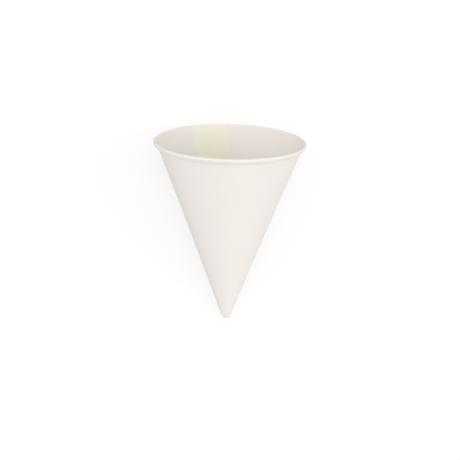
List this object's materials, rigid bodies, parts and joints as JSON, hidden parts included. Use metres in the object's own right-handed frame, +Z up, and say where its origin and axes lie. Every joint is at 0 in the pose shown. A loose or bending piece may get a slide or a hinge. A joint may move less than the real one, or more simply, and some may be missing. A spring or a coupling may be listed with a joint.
{
  "type": "cone paper cup",
  "caption": "Cone-shaped disposable paper cup wound from one sheet, with an outward rolled rim, a glued overlap seam inside and a blunt closed tip.",
  "frame": {"origin": "on the surface that the cup lies on, under the middle of its bounding box", "axes": "+Z up from that surface, +Y from the tip towards the mouth, +X across the cup; the cup lies on its side on its glued seam"},
  "size_m": [0.073, 0.0968, 0.0679],
  "materials": {
    "paper": "uncoated off-white paper, matt with a faint waxy sheen"
  },
  "bodies": {
    "root": {"paper_cup": "paper"}
  },
  "joints": []
}
